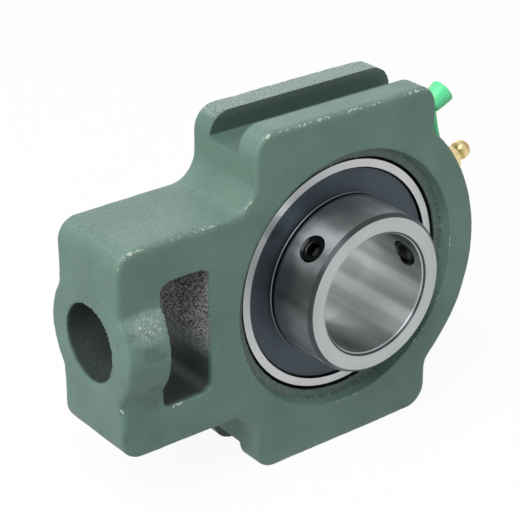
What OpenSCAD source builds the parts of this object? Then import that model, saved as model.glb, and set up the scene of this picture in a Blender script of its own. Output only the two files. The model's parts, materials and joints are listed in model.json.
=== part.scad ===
// Take-up bearing unit: a sand-cast housing that slides between two guide rails,
// with a nose that takes an adjusting screw and a self-aligning ball bearing insert.
// The shaft axis is Y, the front is -Y, the nose points to -X and +Z is up.
// The origin is the centre of the bearing's spherical seat. All sizes are in millimetres.

/* [Guide plate] */
// Distance from the shaft axis to the nose end of the guide plate
guide_nose_end = 32.5; // [28:0.5:38]
// Distance from the shaft axis to the far end of the guide plate
guide_far_end = 30.5; // [26:0.5:34]
// Height over the two pairs of guide flanges
guide_h = 102; // [98:1:116]
// Distance between the floors of the two guide grooves
groove_span = 89; // [84:0.5:92]
// Width of a guide groove
groove_w = 12; // [8:0.5:16]
// Thickness of the casting from front face to rear face
housing_t = 28; // [26:0.5:34]
// Radius of the guide plate's corners
guide_corner_r = 6.5; // [4:0.5:8]
// Radius on the rims of the casting's front and rear faces
rim_r = 1.2; // [0.6:0.2:3]

/* [Round end] */
// Radius of the round end about the shaft axis
round_end_r = 47.5; // [45:0.5:52]
// Radius of the hollow where the round end meets the guide plate
round_end_fillet_r = 5; // [2:0.5:8]

/* [Nose] */
// Distance from the shaft axis to the end face of the nose
nose_reach = 76.5; // [72:0.5:90]
// Height of the nose
nose_h = 61; // [56:1:72]
// Radius of the nose's corners
nose_corner_r = 6; // [4:0.5:9]
// Radius of the hollow where the nose meets the guide plate
nose_fillet_r = 8; // [3:0.5:9]
// Thickness of the end wall that the adjusting screw passes through
end_wall_t = 13; // [9:0.5:16]
// Length of the nut window along the screw
window_len = 16; // [12:0.5:20]
// Height of the nut window
window_h = 37; // [30:0.5:40]
// Radius of the nut window's corners
window_corner_r = 3; // [1:0.5:5]
// Diameter of the adjusting screw's hole
screw_hole_d = 22; // [16:0.5:26]
// Diameter of the boss round the adjusting screw's hole
boss_d = 37; // [34:0.5:40]
// Radius of the hollow between the boss and the nose's faces
boss_fillet_r = 4; // [2:0.5:6]
// Height of the boss's end above the nose's end face
boss_proud = 0.2; // [0.1:0.05:1]

/* [Bearing seat] */
// Radial clearance between the outer ring and its spherical seat
seat_play = 0.05; // [0.02:0.01:0.1]
// Distance that the seat runs past each face of the outer ring
seat_margin = 1; // [0.4:0.1:1.6]
// Width of the ledge at the bottom of the recess round the seat
recess_ledge = 3.2; // [1:0.1:3.6]
// Amount by which the recess widens towards the casting's face
recess_flare = 0.7; // [0.2:0.1:2]
// Width of the grease groove round the seat
grease_groove_w = 6; // [4:0.5:6.5]
// Depth of the grease groove
grease_groove_depth = 1.5; // [0.8:0.1:2.5]
// Clearance that the rear loading slots leave on each side of the outer ring
loading_play = 0.5; // [0.2:0.1:1]

/* [Inner ring] */
// Diameter of the shaft bore
bore_d = 35; // [32:0.5:36]
// Reach of the inner ring in front of the bearing's centre
inner_ring_front = 25.4; // [23:0.2:30]
// Reach of the inner ring behind the bearing's centre
inner_ring_rear = 17.5; // [13:0.5:24]
// Chamfer on the inner ring's outer corners
ring_chamfer = 1; // [0.4:0.1:1.4]
// Chamfer on the shaft bore's mouths
bore_chamfer = 0.8; // [0.3:0.1:1.2]

/* [Outer ring] */
// Spherical diameter of the outer ring
outer_ring_d = 72; // [71:0.5:75]
// Width of the outer ring
outer_ring_w = 20; // [19.4:0.2:22]
// Radial step from the outer ring's shoulders out to the recesses that hold the seals
seal_step = 1.6; // [0.8:0.1:2.4]
// Chamfer on the outer ring's outer corners
outer_chamfer = 0.8; // [0.3:0.1:1.2]
// Diameter of the grease hole through the outer ring, between ball track and seal
grease_hole_d = 2; // [1:0.1:2.2]

/* [Balls and cage] */
// Diameter of a ball
ball_d = 11.11; // [10:0.01:11.5]
// Clearance between a ball and each ball track
ball_play = 0.1; // [0.02:0.01:0.15]
// Radius of a ball track's section as a multiple of the ball's radius
track_ratio = 1.04; // [1.03:0.01:1.08]
// Depth of the ball tracks below the rings' shoulders
shoulder_depth = 2.3; // [1.8:0.1:2.8]
// Thickness of the cage's sheet steel
cage_t = 0.8; // [0.5:0.1:0.9]
// Clearance between a ball and its cage pocket
pocket_play = 0.12; // [0.05:0.01:0.2]
// Radial gap between the cage and the rings' shoulders
cage_gap = 1; // [0.5:0.1:1.4]
// Diameter of a cage rivet's shank
rivet_d = 2; // [1.2:0.1:2.4]
// Diameter of a cage rivet's head
rivet_head_d = 3.2; // [2.6:0.1:3.8]
// Height of a cage rivet's head
rivet_head_h = 0.6; // [0.3:0.1:1]

/* [Seals and slingers] */
// Gap between the cage and the seal beside it
seal_gap = 0.5; // [0.3:0.1:0.8]
// Thickness of a rubber seal
seal_t = 1.3; // [0.9:0.1:1.5]
// Clearance between a seal's lip and the inner ring
lip_play = 0.1; // [0.05:0.01:0.3]
// Length over which a seal thins towards its lip
lip_len = 2.6; // [1.5:0.1:3.5]
// Thickness of a seal's lip
lip_t = 0.4; // [0.3:0.1:0.8]
// Thickness of a slinger's sheet steel
slinger_t = 0.7; // [0.4:0.1:0.8]
// Gap between a slinger and the seal behind it
slinger_gap = 0.4; // [0.2:0.1:0.5]
// Radial gap between a slinger and the outer ring
slinger_clearance = 0.5; // [0.3:0.1:1]
// Wall of the collar that holds a slinger on the inner ring
collar_t = 0.6; // [0.3:0.1:1]
// Length of a slinger's collar, measured from the back of the slinger
collar_len = 2; // [1.2:0.1:3]

/* [Set screws] */
// Thread diameter of a set screw
set_screw_d = 8; // [5:0.5:9]
// Clearance between a set screw and its hole
set_screw_play = 0.05; // [0.02:0.01:0.1]
// Distance from the inner ring's front face to the set screws' axes
set_screw_inset = 7.4; // [6.4:0.1:8.4]
// Direction of the first set screw, turned up from +X
set_screw_angle = 136; // [120:1:150]
// Angle between the two set screws
set_screw_spread = 120; // [90:5:130]
// Distance from the shaft bore to a set screw's tip
set_screw_tip_inset = 0.3; // [0.1:0.1:1]
// Distance from the inner ring's surface to a set screw's outer end
set_screw_sunk = 0.5; // [0.2:0.1:1]
// Width across the flats of a set screw's socket
socket_af = 4; // [3:0.5:5]
// Depth of a set screw's socket
socket_depth = 3; // [2:0.1:3.6]

/* [Grease nipple] */
// Direction of the grease nipple, turned up from +X
nipple_angle = 20.5; // [10:0.5:24]
// Thread diameter of the grease nipple
nipple_thread_d = 6; // [5:0.25:7]
// Clearance between the nipple's thread and its hole
nipple_thread_play = 0.05; // [0.02:0.01:0.1]
// Length of the nipple's thread inside the housing
nipple_thread_len = 5; // [4:0.5:7]
// Height of the nipple's hexagon above the round end
nipple_stand = 4; // [2:0.25:6]
// Width across the flats of the nipple's hexagon
nipple_af = 7; // [6.4:0.1:9]
// Height of the nipple's hexagon
nipple_hex_h = 3; // [2:0.25:4]
// Diameter of the nipple's neck
nipple_neck_d = 4.4; // [4:0.1:5]
// Diameter of the nipple's round head
nipple_head_d = 6.2; // [5.6:0.1:7]
// Height of the head's centre above the hexagon
nipple_head_rise = 3.2; // [3:0.1:4]
// Diameter of the flat on the nipple's tip
nipple_tip_d = 3; // [2.4:0.1:4]
// Diameter of the hole in the nipple's tip
nipple_mouth_d = 1.5; // [1:0.1:1.8]
// Diameter of the chamber that holds the check ball and its spring
nipple_chamber_d = 2.8; // [2.6:0.1:3]
// Length of the chamber
nipple_chamber_len = 7; // [5:0.25:9]
// Diameter of the grease passage through the thread
nipple_passage_d = 1.6; // [1:0.1:1.8]
// Diameter of the check ball
check_ball_d = 2.3; // [2.1:0.1:2.5]
// Clearance between the check ball and its seat
check_ball_play = 0.05; // [0.02:0.01:0.1]
// Wire diameter of the check spring
spring_wire_d = 0.36; // [0.2:0.02:0.4]
// Number of turns in the check spring
spring_turns = 6; // [4:1:8]

/* [Nipple cap] */
// Radial gap between the cap's ring and the nipple's thread
cap_ring_play = 0.3; // [0.1:0.1:0.6]
// Wall of the cap's ring
cap_ring_wall = 1.7; // [1:0.1:2.4]
// Thickness of the ring and the strap
cap_strap_t = 1.3; // [0.8:0.1:1.6]
// Gap between the ring and the hexagon above it
cap_ring_gap = 0.3; // [0.2:0.05:0.5]
// Width of the strap
cap_strap_w = 3.4; // [2:0.2:5]
// Distance from the nipple's axis to the middle of the cap's closed end
cap_offset = 18; // [14:0.5:24]
// Height of the cap's closed end above the ring's underside
cap_rise = 1; // [0:0.25:4]
// Lean of the cap away from the nipple's axis
cap_lean = 25; // [0:5:40]
// Length of the cap
cap_len = 8.5; // [6.5:0.5:11]
// Diameter of the cap's rim
cap_rim_d = 9.2; // [8.6:0.2:11]
// Wall of the cap
cap_wall = 0.7; // [0.5:0.1:1]
// Clearance between the closed cap and the nipple's head
cap_head_play = 0.1; // [0.05:0.05:0.3]
// Amount by which the cap's radius shrinks from its grip to its closed end
cap_taper = 0.4; // [0:0.1:0.8]
// Length of the cap's flared mouth
cap_flare_len = 3.5; // [2:0.5:5]
// Chamfer round the cap's closed end
cap_end_chamfer = 0.8; // [0.7:0.1:1.2]

/* [Hidden] */

// Colours of the enamel, the steels, the rubber, the brass and the cap's plastic
enamel = "#617b6f";
ground_steel = "#c9cccd";
sheet_steel = "#464c55";
cage_steel = "#9a9c9e";
black_oxide = "#26282a";
seal_rubber = "#1d1e20";
brass = "#c9a95c";
cap_plastic = "#55e795";

$fn = 96;
// Facets of a hull's own rounds
hull_fn = 32;
// Length by which a cutter runs past the face that it opens
cut = 1;
// Angle between points on an outline's arcs, and number of steps across a rounded rim
arc_step = 11.25;
end_arc_step = 4;
rim_steps = 4;

// Housing
half_t = housing_t / 2;
seat_r = outer_ring_d / 2 + seat_play;
seat_half_w = outer_ring_w / 2 + seat_margin;
ledge_inner_r = sqrt(seat_r * seat_r - seat_half_w * seat_half_w);
ledge_r = ledge_inner_r + recess_ledge;
grease_groove_r = seat_r + grease_groove_depth;
loading_slot_w = outer_ring_w + 2 * loading_play;
loading_slot_r = seat_r + loading_play;
window_near = nose_reach - end_wall_t;
boss_r = boss_d / 2;
// The boss's blend dips this far under the nose's faces, so the two surfaces cross cleanly
blend_dip = 0.1;

// Bearing insert
bore_r = bore_d / 2;
outer_half_w = outer_ring_w / 2;
ball_count = 9;
ball_r = ball_d / 2;
pocket_r = ball_r + pocket_play;
pitch_r = (bore_r + outer_ring_d / 2) / 2;
shoulder_rise = ball_r + ball_play - shoulder_depth;
inner_r = pitch_r - shoulder_rise;
shoulder_r = pitch_r + shoulder_rise;
seal_recess_r = shoulder_r + seal_step;
seal_back = pocket_r + cage_t + seal_gap;
lip_r = inner_r + lip_play;
slinger_back = seal_back + seal_t + slinger_gap;
slinger_r = seal_recess_r - slinger_clearance;
track_r = ball_r * track_ratio;
inner_track_centre = pitch_r - ball_r - ball_play + track_r;
outer_track_centre = pitch_r + ball_r + ball_play - track_r;
outer_track_half_w = sqrt(track_r * track_r - pow(shoulder_r - outer_track_centre, 2));
grease_hole_at = (outer_track_half_w + seal_back) / 2;
grease_groove_far = grease_hole_at + grease_hole_d / 2;
set_screw_y = -(inner_ring_front - set_screw_inset);
set_screw_r = set_screw_d / 2;
set_screw_hole_r = set_screw_r + set_screw_play;
set_screw_chamfer = 0.8;

// Grease nipple, with heights measured along its axis from the shaft axis
nipple_thread_r = nipple_thread_d / 2;
nipple_hole_r = nipple_thread_r + nipple_thread_play;
nipple_foot = round_end_r - nipple_thread_len;
nipple_hex_base = round_end_r + nipple_stand;
nipple_hex_top = nipple_hex_base + nipple_hex_h;
nipple_head_r = nipple_head_d / 2;
nipple_head_centre = nipple_hex_top + nipple_head_rise;
nipple_tip_r = nipple_tip_d / 2;
nipple_tip = nipple_head_centre + sqrt(nipple_head_r * nipple_head_r - nipple_tip_r * nipple_tip_r);
nipple_mouth_r = nipple_mouth_d / 2;
nipple_mouth_len = 0.5;
chamber_r = nipple_chamber_d / 2;
chamber_top = nipple_tip - nipple_mouth_len - (chamber_r - nipple_mouth_r);
chamber_floor = chamber_top - nipple_chamber_len;
check_ball_r = check_ball_d / 2;
check_ball_at = chamber_top + chamber_r - sqrt(2) * (check_ball_r + check_ball_play);
spring_wire_r = spring_wire_d / 2;
// The spring stands off the chamber's wall and the ball by this much
spring_play = 0.06;
spring_r = chamber_r - spring_wire_r - spring_play;
spring_ball_reach = check_ball_r + spring_wire_r + spring_play;
spring_low = chamber_floor + spring_wire_r + spring_play;
spring_high = check_ball_at - sqrt(spring_ball_reach * spring_ball_reach - spring_r * spring_r);

// Cap
cap_ring_top = nipple_hex_base - cap_ring_gap;
cap_ring_base = cap_ring_top - cap_strap_t;
cap_ring_inner_r = nipple_thread_r + cap_ring_play;
cap_ring_r = cap_ring_inner_r + cap_ring_wall;
cap_rim_r = cap_rim_d / 2;
cap_grip_r = nipple_head_r + cap_head_play + cap_wall;
cap_end_r = cap_grip_r - cap_taper;

// Turns a shape drawn along Z so that Z points to the front
module to_front() rotate([90, 0, 0]) children();

// Turns a shape drawn along Z so that Z points to the nose
module to_nose() rotate([0, -90, 0]) children();

// Turns a shape drawn along Z so that Z points away from the shaft axis
module to_rim(angle, y = 0) translate([0, y, 0]) rotate([0, 90 - angle, 0]) children();

// Repeats a shape at each ball's place round the shaft
module at_balls(shift = 0)
    for (i = [1 : ball_count])
        at_ball(i + shift) children();

module at_ball(i) rotate([0, 0, 360 * i / ball_count]) translate([pitch_r, 0, 0]) children();

// An outline is a list of arcs, each [centre, radius, start angle, end angle, step].
// Straight lines join them. An arc that turns left rounds a corner, one that turns
// right fills a hollow, so an inset shrinks the first and widens the second.
function arc_points(arc, inset) =
    let (
        span = arc[3] - arc[2],
        steps = max(2, ceil(abs(span) / arc[4])),
        radius = arc[1] - sign(span) * inset
    )
    [
        for (i = [0 : steps])
            let (angle = arc[2] + span * i / steps)
            arc[0] + radius * [cos(angle), sin(angle)]
    ];

function outline_points(arcs, inset) = [for (arc = arcs) each arc_points(arc, inset)];

// Rings of a slab with quarter-round rims, each [inset, height], from the bottom up.
// An end with no radius is one plain ring.
function rim_rings(low, high, low_r, high_r) =
    concat(rim_quarter(low, low_r, 1), reversed(rim_quarter(high, high_r, -1)));

function rim_quarter(face, r, inward) =
    r == 0
        ? [[0, face]]
        : [
            for (k = [0 : rim_steps])
                let (t = 90 * k / rim_steps)
                [r * (1 - sin(t)), face + inward * r * (1 - cos(t))]
        ];

function reversed(list) = [for (k = [len(list) - 1 : -1 : 0]) list[k]];

// A slab with the given outline whose rims are rounded by lofting through inset outlines.
// Every point of the outline is seen from its centre, so each end is a fan about that centre.
module rimmed_slab(arcs, rings) {
    count = len(outline_points(arcs, 0));
    last = len(rings) - 1;
    low_centre = len(rings) * count;
    high_centre = low_centre + 1;
    points = concat(
        [for (ring = rings) for (p = outline_points(arcs, ring[0])) [p[0], p[1], ring[1]]],
        [[0, 0, rings[0][1]], [0, 0, rings[last][1]]]
    );
    sides = [
        for (k = [0 : last - 1])
            for (i = [0 : count - 1])
                let (a = k * count + i, b = k * count + (i + 1) % count)
                [a, a + count, b + count, b]
    ];
    low_fan = [for (i = [0 : count - 1]) [low_centre, i, (i + 1) % count]];
    high_fan = [for (i = [0 : count - 1]) [high_centre, last * count + (i + 1) % count, last * count + i]];
    polyhedron(points = points, faces = concat(low_fan, high_fan, sides), convexity = 8);
}

// Outline of the casting in X and Z: nose, guide plate and round end in one line
function housing_outline() =
    let (
        gh = guide_h / 2,
        nh = nose_h / 2,
        gr = guide_corner_r,
        nr = nose_corner_r,
        nf = nose_fillet_r,
        ef = round_end_fillet_r,
        hollow_x = guide_far_end + ef,
        hollow_z = sqrt((round_end_r + ef) * (round_end_r + ef) - hollow_x * hollow_x),
        end_angle = atan2(hollow_z, hollow_x)
    )
    [
        [[-nose_reach + nr, -nh + nr], nr, 180, 270, arc_step],
        [[-guide_nose_end - nf, -nh - nf], nf, 90, 0, arc_step],
        [[-guide_nose_end + gr, -gh + gr], gr, 180, 270, arc_step],
        [[guide_far_end - gr, -gh + gr], gr, -90, 0, arc_step],
        [[hollow_x, -hollow_z], ef, 180, 180 - end_angle, arc_step],
        [[0, 0], round_end_r, -end_angle, end_angle, end_arc_step],
        [[hollow_x, hollow_z], ef, 180 + end_angle, 180, arc_step],
        [[guide_far_end - gr, gh - gr], gr, 0, 90, arc_step],
        [[-guide_nose_end + gr, gh - gr], gr, 90, 180, arc_step],
        [[-guide_nose_end - nf, nh + nf], nf, 0, -90, arc_step],
        [[-nose_reach + nr, nh - nr], nr, 90, 180, arc_step]
    ];

// Section of the boss across the screw's axis: two round bulges that flow into the nose's faces
function boss_outline() =
    let (
        f = boss_fillet_r,
        foot = half_t - blend_dip,
        hollow_y = foot + f,
        hollow_z = sqrt((boss_r + f) * (boss_r + f) - hollow_y * hollow_y),
        lean = atan2(hollow_y, hollow_z),
        base_x = hollow_z + rim_r,
        base_y = foot - rim_r
    )
    [
        [[base_x, base_y], rim_r, 0, 90, arc_step],
        [[hollow_z, hollow_y], f, 270, 180 + lean, arc_step],
        [[0, 0], boss_r, lean, 180 - lean, arc_step],
        [[-hollow_z, hollow_y], f, -lean, -90, arc_step],
        [[-base_x, base_y], rim_r, 90, 180, arc_step],
        [[-base_x, -base_y], rim_r, 180, 270, arc_step],
        [[-hollow_z, -hollow_y], f, 90, lean, arc_step],
        [[0, 0], boss_r, 180 + lean, 360 - lean, arc_step],
        [[hollow_z, -hollow_y], f, 180 - lean, 90, arc_step],
        [[base_x, -base_y], rim_r, 270, 360, arc_step]
    ];

module housing_blank() {
    to_front()
        rimmed_slab(housing_outline(), rim_rings(-half_t, half_t, rim_r, rim_r));
    to_nose()
        rimmed_slab(boss_outline(), rim_rings(window_near - cut, nose_reach + boss_proud, 0, rim_r));
}

// Recess round the seat, cut from one face of the casting down to its ledge
module seat_recess()
    rotate_extrude()
        polygon([
            [0, seat_half_w],
            [ledge_r, seat_half_w],
            [ledge_r + recess_flare, half_t],
            [ledge_r + recess_flare, half_t + cut],
            [0, half_t + cut]
        ]);

// Two slots at the rear that let the outer ring in on edge, before it is turned into the seat
module loading_slots()
    intersection() {
        translate([0, 0, -half_t - cut])
            cylinder(h = half_t + cut, r = loading_slot_r);
        translate([-loading_slot_w / 2, -loading_slot_r - cut, -half_t - cut])
            cube([loading_slot_w, 2 * (loading_slot_r + cut), half_t + cut]);
    }

module bearing_seat()
    to_front() {
        sphere(r = seat_r);
        seat_recess();
        mirror([0, 0, 1])
            seat_recess();
        loading_slots();
        translate([0, 0, grease_groove_far - grease_groove_w])
            cylinder(h = grease_groove_w, r = grease_groove_r);
    }

module nut_window()
    translate([-window_near, 0, 0])
        rotate([90, 0, 0])
            hull()
                for (x = [window_corner_r, window_len - window_corner_r])
                    for (z = [-1, 1])
                        translate([x, z * (window_h / 2 - window_corner_r), -boss_r - cut])
                            cylinder(h = boss_d + 2 * cut, r = window_corner_r, $fn = hull_fn);

module guide_grooves()
    for (side = [-1, 1])
        translate([-guide_nose_end - cut, -groove_w / 2, side > 0 ? groove_span / 2 : -guide_h / 2 - cut])
            cube([guide_nose_end + guide_far_end + 2 * cut, groove_w, (guide_h - groove_span) / 2 + cut]);

module housing()
    color(enamel)
        difference() {
            housing_blank();
            bearing_seat();
            nut_window();
            guide_grooves();
            to_nose()
                translate([0, 0, window_near - cut])
                    cylinder(h = end_wall_t + boss_proud + 2 * cut, d = screw_hole_d);
            to_rim(nipple_angle)
                translate([0, 0, grease_groove_r - cut])
                    cylinder(h = round_end_r - grease_groove_r + 2 * cut, r = nipple_hole_r);
        }

// Outer ring: a slice of a sphere with a ball track, a seal recess at each end and a grease hole
module outer_ring()
    color(ground_steel)
        to_front()
            difference() {
                intersection() {
                    sphere(r = outer_ring_d / 2);
                    rotate_extrude()
                        polygon([
                            [0, -outer_half_w],
                            [outer_face_r(), -outer_half_w],
                            [outer_face_r() + outer_half_w, 0],
                            [outer_face_r(), outer_half_w],
                            [0, outer_half_w]
                        ]);
                }
                cylinder(h = outer_ring_w + 2 * cut, r = shoulder_r, center = true);
                rotate_extrude()
                    translate([outer_track_centre, 0])
                        circle(r = track_r);
                for (side = [-1, 1])
                    translate([0, 0, side > 0 ? seal_back : -outer_half_w - cut])
                        cylinder(h = outer_half_w - seal_back + cut, r = seal_recess_r);
                rotate([0, 0, nipple_angle])
                    translate([shoulder_r - cut, 0, grease_hole_at])
                        rotate([0, 90, 0])
                            cylinder(h = outer_ring_d / 2 - shoulder_r + 2 * cut, d = grease_hole_d);
            }

// Radius of the outer ring's flat face inside its chamfer
function outer_face_r() =
    let (corner = outer_half_w - outer_chamfer)
    sqrt(outer_ring_d * outer_ring_d / 4 - corner * corner) - outer_chamfer;

// Rubber seal with a lip that thins towards the inner ring, drawn on the front side
module seal()
    color(seal_rubber)
        rotate_extrude()
            polygon([
                [seal_recess_r, seal_back],
                [seal_recess_r, seal_back + seal_t],
                [lip_r + lip_len, seal_back + seal_t],
                [lip_r, seal_back + (seal_t + lip_t) / 2],
                [lip_r, seal_back + (seal_t - lip_t) / 2],
                [lip_r + lip_len, seal_back]
            ]);

module seal_front() to_front() seal();

module seal_rear() to_front() mirror([0, 0, 1]) seal();

module inner_ring()
    color(ground_steel)
        difference() {
            to_front()
                difference() {
                    rotate_extrude()
                        polygon([
                            [bore_r, -inner_ring_rear + bore_chamfer],
                            [bore_r + bore_chamfer, -inner_ring_rear],
                            [inner_r - ring_chamfer, -inner_ring_rear],
                            [inner_r, -inner_ring_rear + ring_chamfer],
                            [inner_r, inner_ring_front - ring_chamfer],
                            [inner_r - ring_chamfer, inner_ring_front],
                            [bore_r + bore_chamfer, inner_ring_front],
                            [bore_r, inner_ring_front - bore_chamfer]
                        ]);
                    rotate_extrude()
                        translate([inner_track_centre, 0])
                            circle(r = track_r);
                }
            for (i = [0, 1])
                at_set_screw(i)
                    translate([0, 0, bore_r - cut])
                        cylinder(h = inner_r - bore_r + 2 * cut, r = set_screw_hole_r);
        }

// Sheet-steel slinger with a collar that grips the inner ring, drawn on the front side
module slinger()
    color(sheet_steel)
        rotate_extrude()
            polygon([
                [inner_r, slinger_back],
                [slinger_r, slinger_back],
                [slinger_r, slinger_back + slinger_t],
                [inner_r + collar_t, slinger_back + slinger_t],
                [inner_r + collar_t, slinger_back + collar_len],
                [inner_r, slinger_back + collar_len]
            ]);

module slinger_front() to_front() slinger();

module slinger_rear() to_front() mirror([0, 0, 1]) slinger();

module at_set_screw(i) to_rim(set_screw_angle - i * set_screw_spread, set_screw_y) children();

// Socket set screw with a cupped tip at the bore and a hexagon socket at its outer end
module set_screw(i) {
    low = bore_r + set_screw_tip_inset;
    high = inner_r - set_screw_sunk;
    c = set_screw_chamfer;
    color(black_oxide)
        at_set_screw(i)
            difference() {
                rotate_extrude()
                    polygon([
                        [0, low + c],
                        [set_screw_r - 2 * c, low],
                        [set_screw_r - c, low],
                        [set_screw_r, low + c],
                        [set_screw_r, high - c],
                        [set_screw_r - c, high],
                        [0, high]
                    ]);
                translate([0, 0, high - socket_depth])
                    cylinder(h = socket_depth + cut, d = socket_af / cos(30), $fn = 6);
            }
}

// One half of the ribbon cage: flat lands between pockets that are pressed round the balls
module cage_half()
    color(cage_steel)
        difference() {
            intersection() {
                difference() {
                    cylinder(h = pocket_r + 2 * cage_t, r = shoulder_r - cage_gap);
                    translate([0, 0, -cut])
                        cylinder(h = pocket_r + 2 * cage_t + 2 * cut, r = inner_r + cage_gap);
                }
                union() {
                    translate([0, 0, -cut])
                        cylinder(h = cage_t + cut, r = shoulder_r);
                    at_balls()
                        sphere(r = pocket_r + cage_t);
                }
            }
            at_balls()
                sphere(r = pocket_r);
            at_balls(0.5)
                translate([0, 0, -cut])
                    cylinder(h = cage_t + 2 * cut, d = rivet_d);
        }

module cage_front() to_front() cage_half();

module cage_rear() to_front() mirror([0, 0, 1]) cage_half();

module cage_rivets()
    color(cage_steel)
        to_front()
            at_balls(0.5) {
                cylinder(h = 2 * cage_t, d = rivet_d, center = true);
                for (side = [-1, 1])
                    translate([0, 0, side > 0 ? cage_t : -cage_t - rivet_head_h])
                        cylinder(h = rivet_head_h, d = rivet_head_d);
            }

module ball(i)
    color(ground_steel)
        to_front()
            at_ball(i)
                sphere(r = ball_r);

// Grease nipple: thread, hexagon, neck and round head, bored for a spring-loaded check ball
module grease_nipple()
    color(brass)
        to_rim(nipple_angle)
            difference() {
                union() {
                    translate([0, 0, nipple_foot])
                        cylinder(h = nipple_hex_top - nipple_foot - nipple_hex_h / 2, r = nipple_thread_r);
                    translate([0, 0, nipple_hex_base])
                        cylinder(h = nipple_hex_h, d = nipple_af / cos(30), $fn = 6);
                    translate([0, 0, nipple_hex_base])
                        cylinder(h = nipple_hex_h + nipple_head_rise, d = nipple_neck_d);
                    translate([0, 0, nipple_head_centre])
                        sphere(r = nipple_head_r);
                }
                translate([0, 0, nipple_tip])
                    cylinder(h = nipple_head_d, r = nipple_head_d);
                rotate_extrude()
                    polygon([
                        [0, nipple_foot - cut],
                        [nipple_passage_d / 2, nipple_foot - cut],
                        [nipple_passage_d / 2, chamber_floor],
                        [chamber_r, chamber_floor],
                        [chamber_r, chamber_top],
                        [nipple_mouth_r, chamber_top + chamber_r - nipple_mouth_r],
                        [nipple_mouth_r, nipple_tip + cut],
                        [0, nipple_tip + cut]
                    ]);
            }

module check_ball()
    color(ground_steel)
        to_rim(nipple_angle)
            translate([0, 0, check_ball_at])
                sphere(r = check_ball_r);

// Coil spring under the check ball, swept as a tube of eight sides along a helix
module check_spring() {
    sides = 8;
    turn_steps = 14;
    rings = spring_turns * turn_steps;
    rise = spring_high - spring_low;
    points = [
        for (k = [0 : rings])
            let (turn = 360 * k / turn_steps, height = spring_low + rise * k / rings)
            for (s = [0 : sides - 1])
                let (reach = spring_r + spring_wire_r * cos(360 * s / sides))
                [reach * cos(turn), reach * sin(turn), height + spring_wire_r * sin(360 * s / sides)]
    ];
    walls = [
        for (k = [0 : rings - 1])
            for (s = [0 : sides - 1])
                let (a = k * sides + s, b = k * sides + (s + 1) % sides)
                [a, b, b + sides, a + sides]
    ];
    start = [for (s = [sides - 1 : -1 : 0]) s];
    end = [for (s = [0 : sides - 1]) rings * sides + s];
    color(cage_steel)
        to_rim(nipple_angle)
            polyhedron(points = points, faces = concat([start, end], walls), convexity = 10);
}

// Cap with its strap and ring, moulded in one piece and hanging open beside the nipple
module nipple_cap()
    color(cap_plastic)
        to_rim(nipple_angle)
            difference() {
                union() {
                    translate([0, 0, cap_ring_base])
                        cylinder(h = cap_strap_t, r = cap_ring_r);
                    cap_strap();
                    cap_place()
                        rotate_extrude()
                            polygon(cap_profile(0));
                }
                translate([0, 0, cap_ring_base - cut])
                    cylinder(h = cap_strap_t + 2 * cut, r = cap_ring_inner_r);
                cap_place()
                    rotate_extrude()
                        polygon(cap_profile(cap_wall));
            }

module cap_place()
    translate([-cap_offset, 0, cap_ring_base + cap_rise])
        rotate([0, -cap_lean, 0])
            children();

// Half section of the cap from its closed end up, or of its hollow when given a wall
function cap_profile(wall) =
    let (
        chamfer = cap_end_chamfer - (2 - sqrt(2)) * wall,
        mouth = cap_len + (wall > 0 ? cut : 0)
    )
    [
        [0, wall],
        [cap_end_r - wall - chamfer, wall],
        [cap_end_r - wall, wall + chamfer],
        [cap_grip_r - wall, cap_len - cap_flare_len],
        [cap_rim_r - wall, cap_len],
        [cap_rim_r - wall, mouth],
        [0, mouth]
    ];

module cap_strap()
    hull()
        for (end = [[-cap_ring_inner_r - cap_ring_wall / 2, 0], [-cap_offset + cap_end_r / 2, cap_rise]])
            translate([end[0], 0, cap_ring_base + cap_strap_t / 2 + end[1]])
                rotate([90, 0, 0])
                    cylinder(h = cap_strap_w, d = cap_strap_t, center = true, $fn = hull_fn);

housing();
outer_ring();
seal_front();
seal_rear();
inner_ring();
slinger_front();
slinger_rear();
for (i = [0, 1])
    set_screw(i);
cage_front();
cage_rear();
cage_rivets();
for (i = [1 : ball_count])
    ball(i);
grease_nipple();
check_ball();
check_spring();
nipple_cap();
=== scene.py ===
"""Looks of a take-up bearing unit: enamelled casting, ball bearing insert, grease nipple and studio."""
import json
import math
from functools import partial

import bmesh
import bpy
import numpy as np
from bpy.props import FloatProperty, FloatVectorProperty, IntProperty, PointerProperty, StringProperty
from bpy.types import Node, NodeSocket, Operator, Panel, PropertyGroup
from mathutils import Matrix, Vector


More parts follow.
